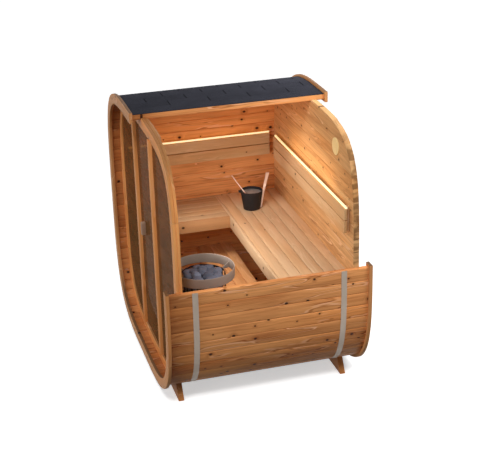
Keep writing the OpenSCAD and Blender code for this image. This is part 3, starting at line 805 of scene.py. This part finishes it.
def door_post(node):
    """Upright post whose ends follow the frame's inner curve."""
    lo, hi = corners(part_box(node))
    b = Boards()
    b.new_board()
    tops = {y: height_at(y, FRAME_IN, True) for y in (lo.y, hi.y)}
    feet = {y: height_at(y, FRAME_IN, False) for y in (lo.y, hi.y)}

    def ends(y):
        f = (y - lo.y) / (hi.y - lo.y)
        return (feet[lo.y] + f * (feet[hi.y] - feet[lo.y]), tops[lo.y] + f * (tops[hi.y] - tops[lo.y]))

    def place(w, u, v):
        z_lo, z_hi = ends(v)
        return (u, v, z_lo + w * (z_hi - z_lo))

    def grain(w, u, v):
        return (w * (hi.z - lo.z), v - lo.y - POST_HEART, u - lo.x)

    b.loft(rounded(oblong(lo.x, lo.y, hi.x, hi.y), BOARD_ROUND), [0.0, 1.0], place, grain, 0.0005)
    b.finish(node + "_board", LOOKS["frame"], replaces=(node,))


door_post("far_post")
door_post("near_post")


# ---------------------------------------------------------------- back wall
WALL_PITCH, WALL_FIRST_SHORT, WALL_STEPS = 0.095, 0.02, 6
WALL_LEAST, WALL_TIP, WALL_EASE = 0.001, 0.0008, 0.0022


def wall_boards():
    """Level boards whose ends follow the outline."""
    lo, hi = corners(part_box("back_wall"))
    b = Boards()
    z = lo.z
    while z < hi.z - WALL_LEAST:
        top = min(z + WALL_PITCH - (WALL_FIRST_SHORT if z == lo.z else 0), hi.z)
        b.new_board()
        side = []
        for h in even(z, top, WALL_STEPS):
            inside = min(max(h, lo.z + WALL_TIP), hi.z - WALL_TIP)
            side.append((half_width(inside, WALL_EDGE), h))
        section = [(-w, h) for w, h in side] + [(w, h) for w, h in reversed(side)]
        mid = (z + top) / 2
        b.loft(section, [lo.x, hi.x], same, lambda w, u, v, mid=mid: (u, v - mid, w - lo.x), WALL_EASE)
        z = top
    b.finish("back_wall_boards", LOOKS["wall"], replaces=("back_wall",))


wall_boards()


# ---------------------------------------------------------------- roof felt
FELT_TURN = 66
FELT_CAP, FELT_COURSE, FELT_LEAST = 0.105, 0.127, 0.03
FELT_CUT_PITCH, FELT_FIRST_CUT, FELT_CUT_W = 0.31, (-0.575, -0.42), 0.008
FELT_BASE, FELT_T, FELT_EDGE_TAB = RING_PROUD - 0.0015, 0.0042, 0.05
SHEET_STEPS, COURSE_STEPS, TABS = 60, 6, 6
# how thick a course is at its upper edge, as a share of its lower edge
FELT_THIN = 0.25
# the base sheet's tone, far below the courses': painted shade that shows near-black in the cuts
SLOT_SHADE_TONE = -12.0


def shingles():
    """A base sheet under courses of felt, each cut into tabs."""
    b = Boards()
    last = FIRST_RUN + nearest_joint(FELT_TURN) * PITCH
    # painted shade: the base sheet is near-black where it shows between tabs
    b.new_board(shade=SLOT_SHADE_TONE)
    base = oblong(-STAVE_X, FELT_BASE, STAVE_X, RING_PROUD)
    b.loft(base, even(FIRST_RUN, last, SHEET_STEPS), on_outline, edge=0.0003)
    edges = [FIRST_RUN, FELT_CAP]
    while edges[-1] + FELT_COURSE < last - FELT_LEAST:
        edges.append(edges[-1] + FELT_COURSE)
    edges[-1] = last
    for k, (a, z) in enumerate(zip(edges, edges[1:])):
        cuts = [FELT_FIRST_CUT[k % 2] + FELT_CUT_PITCH * n for n in range(TABS)]
        # the first course, along the roof's crest, is one piece
        cuts = [x for x in cuts if k and x < STAVE_X - FELT_EDGE_TAB]
        sides = [-STAVE_X] + cuts + [STAVE_X]

        def place(w, u, v, a=a, z=z):
            thick = FELT_THIN + (1 - FELT_THIN) * (w - a) / (z - a)
            return on_outline(w, u, FELT_BASE - v * thick)

        for left, right in zip(sides, sides[1:]):
            b.new_board()
            left += FELT_CUT_W / 2 if left > -STAVE_X else 0
            right -= FELT_CUT_W / 2 if right < STAVE_X else 0
            b.loft(oblong(left, 0, right, FELT_T), even(a, z, COURSE_STEPS), place, edge=0.0006)
    b.finish("roof_felt_courses", LOOKS["felt"], replaces=("roof_shingles",))


shingles()


# ---------------------------------------------------------------- benches and rests
# the narrowest board worth laying, and a width that makes one board of a node
LEAST_BOARD, ONE_BOARD = 0.004, 1.0


def deck(node, width, gap, along, cross, material="bench"):
    """Boards side by side in a node's box, their grain along one axis."""
    lo, hi = corners(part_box(node))
    b = Boards()
    at = lo[cross]
    while at < hi[cross] - LEAST_BOARD:
        b.new_board()
        p, q = lo.copy(), hi.copy()
        p[cross], q[cross] = at, min(at + width, hi[cross])
        b.board(p, q, along, BOARD_ROUND)
        at += width + gap
    b.finish(node + "_boards", LOOKS[material], replaces=(node,))


deck("main_bench_top", width=0.084, gap=0.003, along=Y, cross=X)
# the side bench top takes darker bench wood, painted shade
deck("side_bench_top", width=0.084, gap=0.003, along=X, cross=Y, material="side")
# the step's boards and fascia take painted warm light in their wood
deck("step_bench_top", width=0.088, gap=0.005, along=Y, cross=X, material="step")
deck("main_bench_fascia", width=ONE_BOARD, gap=0, along=Y, cross=Z)
# the side bench fascia takes darker bench wood, painted shade
deck("side_bench_fascia", width=ONE_BOARD, gap=0, along=X, cross=Z, material="side_edge_shaded")
deck("step_bench_fascia", width=ONE_BOARD, gap=0, along=Y, cross=Z, material="step")
deck("back_rest", width=0.090, gap=0.006, along=Y, cross=Z, material="rest")
deck("side_rest", width=0.090, gap=0.006, along=X, cross=Z, material="rest")

for material, nodes in (
        ("bearer_x", ("main_bench_bearers",)),
        ("bearer_z", ("side_bench_bearers", "step_bench_frame", "back_rest_battens", "side_rest_battens")),
        ("foot", ("front_foot", "back_foot")),
        ("header", ("header_board",)),
        ("glass", ("far_window", "near_window", "door_glass")),
        ("band", ("front_band", "back_band")),
        ("hinge", ("hinge_leaves", "door_hinges")),
        ("black", ("stove_casing", "stove_cage")),
        ("light", ("back_light", "side_light"))):
    for node in nodes:
        dress(node, LOOKS[material])


HANDLE_ROUND = 0.004


def handle():
    """A wooden block on each side of the door's glass."""
    lo, hi = corners(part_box("door_handle"))
    glass_lo, glass_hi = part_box("door_glass")
    b = Boards()
    for x_lo, x_hi in ((lo.x, glass_lo[0]), (glass_hi[0], hi.x)):
        b.new_board()
        b.board((x_lo, lo.y, lo.z), (x_hi, hi.y, hi.z), Z, HANDLE_ROUND)
    b.finish("door_handle_blocks", LOOKS["handle"], "door", ("door_handle",))


handle()


# ---------------------------------------------------------------- turned pieces
def turned(b, centre, profile, steps=96, axis=Z):
    """A turned form about X or Z from (radius, height) pairs of a closed
    section, which leaves a pinhole where it meets the axis."""
    def grain(w, r, h):
        return (r * math.cos(w), r * math.sin(w), h)

    def place(w, r, h):
        p = Vector(grain(w, r, h))
        return Vector(centre) + (Vector((h, p.x, p.y)) if axis == X else p)

    b.loft(profile, [2 * math.pi * k / steps for k in range(steps)], place, grain, closed=True)


def vent_cover():
    """A round wooden disc on the back wall."""
    lo, hi = corners(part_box("vent_cover"))
    b = Boards()
    b.new_board(shade=0.2)
    r, thick, pin_r = (hi.z - lo.z) / 2, hi.x - lo.x, 0.0005
    centre = (hi.x, (lo.y + hi.y) / 2, (lo.z + hi.z) / 2)
    turned(b, centre, rounded(oblong(pin_r, 0, r, -thick), [0, 0.001, 0.004, 0], 4), axis=X)
    b.finish("vent_disc", LOOKS["vent"], replaces=("vent_cover",))


guard_lo, guard_hi = corners(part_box("stove_guard"))
cage_lo, cage_hi = corners(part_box("stove_cage"))
STOVE = Vector(((guard_lo.x + guard_hi.x) / 2, (guard_lo.y + guard_hi.y) / 2, 0))
GUARD_R, GUARD_T = (guard_hi.x - guard_lo.x) / 2, 0.006
CAGE_R = (cage_hi.x - cage_lo.x) / 2
GUSSET_TURNS, GUSSET_T, GUSSET_H, GUSSET_FOOT_H = (18, 138, 258), 0.004, 0.050, 0.012


def guard_ring():
    """The guard round the top of the stove, on three gussets."""
    b = Boards()
    b.new_board(shade=0.5)
    turned(b, STOVE, rounded(oblong(GUARD_R - GUARD_T, guard_lo.z, GUARD_R, guard_hi.z), 0.0026, 3), 180)
    near, far, foot = CAGE_R - 0.001, GUARD_R - GUARD_T / 2, cage_hi.z - GUSSET_FOOT_H
    gusset = rounded([(near, foot), (far, foot), (far, foot + GUSSET_H), (near, foot + GUSSET_FOOT_H)], 0.001)
    for turn in GUSSET_TURNS:
        b.new_board(shade=0.5)
        b.loft(gusset, [-GUSSET_T / 2, GUSSET_T / 2], plate_at(STOVE, turn), edge=0.0004)
    b.finish("guard_ring", LOOKS["guard"], replaces=("stove_guard",))


vent_cover()
guard_ring()


# ---------------------------------------------------------------- stones
STONE_ROWS, STONES_A_ROW, ROW_STEP, ROW_LIFT = 10, 11, 0.0500, 0.024
STONE_IN, CORE_IN, CORE_TOP = 0.040, 0.045, 0.875
# the heap on top: how many stones, at which radius and height
HEAP = ((8, 0.112, 0.893), (5, 0.064, 0.906), (1, 0.0, 0.913))
# the least and the most of each half size of a stone
ROW_SIZES = ((0.034, 0.040), (0.034, 0.040), (0.025, 0.030))
HEAP_SIZES = ((0.043, 0.050), (0.036, 0.042), (0.027, 0.032))
ROUGH_BALL, FINE_BALL = 2, 3
STONE_SQUARE, STONE_LUMPS, STONE_DENTS, STONE_TILT = 0.88, 0.16, 0.05, 0.35


def stones():
    """Rows of stones inside the cage, a heap on top and a dark core."""
    b = Boards()
    rng = random.Random(5)
    ball = {}
    for level in (ROUGH_BALL, FINE_BALL):
        tmp = bmesh.new()
        bmesh.ops.create_icosphere(tmp, subdivisions=level, radius=1)
        ball[level] = ([v.co.copy() for v in tmp.verts], [[v.index for v in f.verts] for f in tmp.faces])
        tmp.free()

    def add_stone(r, a, z, size, level):
        b.new_board()
        at = Vector((STOVE.x + r * math.cos(a), STOVE.y + r * math.sin(a), z))
        tilts = [rng.uniform(-STONE_TILT, STONE_TILT) for _ in range(2)]
        turn = Euler([*tilts, rng.uniform(0, 6.28)]).to_matrix()
        seed = Vector([rng.uniform(0, 90) for _ in range(3)])
        points, faces = ball[level]
        made = []
        for p in points:
            # slightly flattened sides and a lumpy skin
            q = Vector([math.copysign(abs(c) ** STONE_SQUARE, c) for c in p])
            lumps, dents = noise.noise(p * 1.1 + seed), noise.noise(p * 3.1 + seed)
            q *= 1 + STONE_LUMPS * lumps + STONE_DENTS * dents
            q = turn @ Vector((q.x * size[0], q.y * size[1], q.z * size[2]))
            made.append(b.vert(at + q, q))
        for f in faces:
            b.bm.faces.new([made[i] for i in f])

    lo, hi = corners(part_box("stove_stones"))
    r_max = (hi.x - lo.x) / 2
    for row in range(STONE_ROWS):
        level = FINE_BALL if row > STONE_ROWS - 3 else ROUGH_BALL
        for k in range(STONES_A_ROW):
            a = 2 * math.pi * (k + 0.5 * (row % 2) + rng.uniform(-0.12, 0.12)) / STONES_A_ROW
            size = [rng.uniform(*span) for span in ROW_SIZES]
            r = r_max - STONE_IN + rng.uniform(-0.002, 0.002)
            add_stone(r, a, lo.z + ROW_LIFT + row * ROW_STEP, size, level)
    for count, r, z in HEAP:
        for k in range(count):
            a = 2 * math.pi * (k + rng.uniform(-0.15, 0.15)) / count + count
            size = [rng.uniform(*span) for span in HEAP_SIZES]
            add_stone(r, a, z, size, FINE_BALL)
    b.new_board(shade=0.0)
    pin_r, core_lo = 0.001, lo.z + 0.002
    turned(b, STOVE, oblong(pin_r, core_lo, r_max - CORE_IN, CORE_TOP), 24)
    b.finish("stove_stone_heap", LOOKS["stone"], replaces=("stove_stones",), angle=80)


stones()


# ---------------------------------------------------------------- bucket
bucket_lo, bucket_hi = corners(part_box("bucket"))
RIM_R, BUCKET_H = (bucket_hi.y - bucket_lo.y) / 2, bucket_hi.z - bucket_lo.z
BUCKET = Vector((bucket_hi.x - RIM_R, (bucket_lo.y + bucket_hi.y) / 2, bucket_lo.z))
BUCKET_RIM = BUCKET + Vector((0, 0, BUCKET_H))
BASE_R, BUCKET_T, PIN_R = 0.0685, 0.005, 0.0008
LEAN = (RIM_R - BASE_R) / BUCKET_H
EAR_LO, EAR_HI, EAR_W = BUCKET_H - 0.020, BUCKET_H - 0.004, 0.026
EAR_ROOT_R, EAR_LO_R, EAR_HI_R = RIM_R - 0.004, RIM_R + 0.012, RIM_R + 0.0165
GRIP_TURN = -16


def bucket():
    """A moulded bucket with an ear opposite its grip."""
    b = Boards()
    b.new_board(shade=0.5)
    wall = [(PIN_R, 0), (BASE_R, 0), (RIM_R, BUCKET_H), (RIM_R - BUCKET_T, BUCKET_H),
            (BASE_R - BUCKET_T, BUCKET_T), (PIN_R, BUCKET_T)]
    turned(b, BUCKET, rounded(wall, [0, 0.003, 0.0022, 0.0022, 0.004, 0], 4))
    ear = rounded([(EAR_ROOT_R, EAR_LO), (EAR_LO_R, EAR_LO + 0.004), (EAR_HI_R, EAR_HI),
                   (EAR_ROOT_R, EAR_HI)], 0.002)
    b.loft(ear, [-EAR_W / 2, EAR_W / 2], plate_at(BUCKET, GRIP_TURN + 180))
    b.finish("bucket_shell", LOOKS["bucket"], replaces=("bucket",))


GRIP_LIFT, GRIP_GAP, GRIP_T = 0.010, 0.0003, 0.014
# the grip's width at its foot, at the rim and at its top
GRIP_WIDTHS = (0.012, 0.018 - GRIP_GAP, 0.029)
GRIP_TOP_OUT, GRIP_SECTION_W, GRIP_STEPS = 0.030, 0.020, 16


def bucket_grip():
    """Upright grip, a slat that widens and leans outward."""
    out, side = level_turn(GRIP_TURN)
    foot_r = BASE_R + GRIP_GAP + GRIP_LIFT * LEAN
    heights = [GRIP_LIFT, BUCKET_H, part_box("bucket_grip")[1][2] - BUCKET.z]
    inner = [foot_r, RIM_R + GRIP_GAP, RIM_R + GRIP_TOP_OUT]
    outer = [r + width for r, width in zip(inner, GRIP_WIDTHS)]

    def place(w, u, v):
        a, z = lookup(w, heights, inner), lookup(w, heights, outer)
        return BUCKET + out * (a + (z - a) * u / GRIP_SECTION_W) + side * v + Vector((0, 0, w))

    b = Boards()
    b.new_board(shade=0.3)
    slat = rounded(oblong(0, -GRIP_T / 2, GRIP_SECTION_W, GRIP_T / 2), 0.0028, 3)
    b.loft(slat, even(GRIP_LIFT, heights[-1], GRIP_STEPS), place)
    b.finish("bucket_grip_slat", LOOKS["pale"], replaces=("bucket_grip",))


# places are counted from the middle of the bucket's rim
LADLE_TILT, LADLE_TURN, LADLE_FOOT = 19, 102, (-0.0486, -0.055, -0.031)
LADLE_R, LADLE_LENGTH, LADLE_THINNER, LADLE_SIDES, LADLE_STEPS = 0.005, 0.290, 0.12, 16, 14
CUP_AT, CUP_R, CUP_H, CUP_T = (-0.030, -0.036, -0.070), 0.025, 0.038, 0.004


def ladle():
    """A thin turned handle with a small cup under the water."""
    b = Boards()
    b.new_board(shade=0.3)
    tilt = math.radians(LADLE_TILT)
    level, side = level_turn(LADLE_TURN)
    along = level * math.cos(tilt) + Vector((0, 0, math.sin(tilt)))
    over = along.cross(side)
    foot = BUCKET_RIM + Vector(LADLE_FOOT)
    turns = [2 * math.pi * k / LADLE_SIDES for k in range(LADLE_SIDES)]

    def place(w, u, v):
        thin = 1.0 - LADLE_THINNER * math.sin(math.pi * w / LADLE_LENGTH)
        return foot + along * w + (side * u + over * v) * thin

    rod = [(LADLE_R * math.cos(a), LADLE_R * math.sin(a)) for a in turns]
    b.loft(rod, even(0, LADLE_LENGTH, LADLE_STEPS), place, edge=0.002)
    inner_r = CUP_R - CUP_T
    cup = [(PIN_R, 0), (CUP_R, 0), (CUP_R, CUP_H), (inner_r, CUP_H), (inner_r, CUP_T), (PIN_R, CUP_T)]
    turned(b, BUCKET_RIM + Vector(CUP_AT), rounded(cup, [0, 0.006, 0.0015, 0.0015, 0.004, 0], 3), 40)
    b.finish("ladle_turned", LOOKS["pale"], replaces=("ladle",))


WATER_DOWN, WATER_T, WATER_GAP = 0.021, 0.004, 0.0002


def still_water():
    """A thin disc of water, from side to side of the bucket."""
    b = Boards()
    b.new_board(shade=0.5)
    level = BUCKET_H - WATER_DOWN
    low = level - WATER_T
    r = BASE_R + level * LEAN - BUCKET_T - WATER_GAP
    turned(b, BUCKET, [(PIN_R, low), (r - 0.0008, low), (r, level), (PIN_R, level)], 72)
    b.finish("bucket_water", LOOKS["water"])


bucket()
bucket_grip()
ladle()
still_water()


# ---------------------------------------------------------------- stage and light
# how bright the world and the floor are, apart from what the camera sees
WORLD_LIGHT, FLOOR_BOUNCE = 0.12, 0.04
FLOOR_LIFT, FLOOR_HALF = 0.51, 14.0
WARM = (1.0, 0.66, 0.30)


def aimed(name, data, at, aim, long=(1, 0, 0)):
    """A lamp at a place, its light thrown towards aim, its long side along long."""
    obj = bpy.data.objects.new(name, data)
    z = (Vector(at) - Vector(aim)).normalized()
    y = z.cross(Vector(long)).normalized()
    turn = Matrix((y.cross(z), y, z)).transposed().to_4x4()
    obj.matrix_world = Matrix.Translation(at) @ turn
    obj.visible_camera = obj.visible_transmission = obj.visible_glossy = False
    bpy.context.scene.collection.objects.link(obj)


def flat_light(name, at, aim, size, energy, colour=WHITE, long=(1, 0, 0)):
    data = bpy.data.lights.new(name, "AREA")
    data.shape = "RECTANGLE"
    data.size, data.size_y = size
    data.energy = energy
    data.color = colour
    aimed(name, data, at, aim, long)


def sun(name, at, strength, angle):
    """Sunlight that comes from at, as soft as its angle is wide."""
    data = bpy.data.lights.new(name, "SUN")
    data.energy = strength
    data.angle = math.radians(angle)
    aimed(name, data, at, (0, 0, 0))


def add_floor():
    """A floor that looks white but throws little light on the sauna."""
    mesh = bpy.data.meshes.new("floor")
    s = FLOOR_HALF
    mesh.from_pydata([(-s, -s, 0), (s, -s, 0), (s, s, 0), (-s, s, 0)], [], [(0, 1, 2, 3)])
    floor = bpy.data.objects.new("floor", mesh)
    bpy.context.scene.collection.objects.link(floor)
    t = Tree("floor_white")
    seen = t.seen()
    mesh.materials.append(t.look({
        "Base Color": t.mix(seen, (FLOOR_BOUNCE,) * 3, WHITE),
        "Roughness": 1.0,
        "Specular IOR Level": 0.0,
        "Emission Color": (*WHITE, 1.0),
        "Emission Strength": t.times(seen, FLOOR_LIFT),
    }))


def add_world():
    """A world that looks white but lights the sauna faintly."""
    world = bpy.data.worlds.new("world")
    bpy.context.scene.world = world
    world.use_nodes = True
    t = Nodes(world.node_tree)
    level = t.add("ShaderNodeMapRange", {0: t.seen(), 3: WORLD_LIGHT, 4: 1.0}).outputs[0]
    back = t.add("ShaderNodeBackground", {0: (*WHITE, 1.0), 1: level})
    t.link(back.outputs[0], t.add("ShaderNodeOutputWorld").inputs[0])


add_floor()
add_world()
sun("key", at=(-1.8, -4.1, 6.0), strength=1.22, angle=12)
sun("left", at=(-6.0, -2.4, 2.5), strength=0.95, angle=35)
flat_light("side", at=(2.3, -2.2, 3.1), aim=(0.3, 0, 1.0), size=(1.5, 1.5), energy=60)
flat_light("inside", at=(-0.30, -0.15, 1.24), aim=(0.62, 0.15, 1.05), size=(0.9, 0.40), energy=5.4,
           long=(0, 1, 0))
flat_light("corner", at=(0.32, 0.62, 1.18), aim=(0.50, 1.0, 0.90), size=(0.4, 0.25), energy=0.16)
flat_light("roof", at=(1.3, 0.7, 3.0), aim=(0.55, 0.4, 2.03), size=(0.5, 0.5), energy=24)


GLOW_BACK, GLOW_UP, GLOW_W = 1.5, 0.35, 0.08


def glow(strip, axis, off, share, energy):
    """The light that a strip throws up the wall behind it, from a point off
    the strip, along a share of its length."""
    lo, hi = corners(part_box(strip))
    off = Vector(off)
    mid = Vector(((lo.x + hi.x) / 2, (lo.y + hi.y) / 2, hi.z))
    aim = mid - off * GLOW_BACK + Vector((0, 0, GLOW_UP))
    size = (share * (hi[axis] - lo[axis]), GLOW_W)
    flat_light(strip + "_glow", mid + off, aim, size, energy, WARM, (axis == X, axis == Y, 0))


glow("back_light", Y, off=(-0.09, 0, 0.03), share=0.6, energy=0.75)
glow("side_light", X, off=(0, -0.05, 0.02), share=1.0, energy=0.13)

view = bpy.context.scene.view_settings
view.view_transform = "Standard"
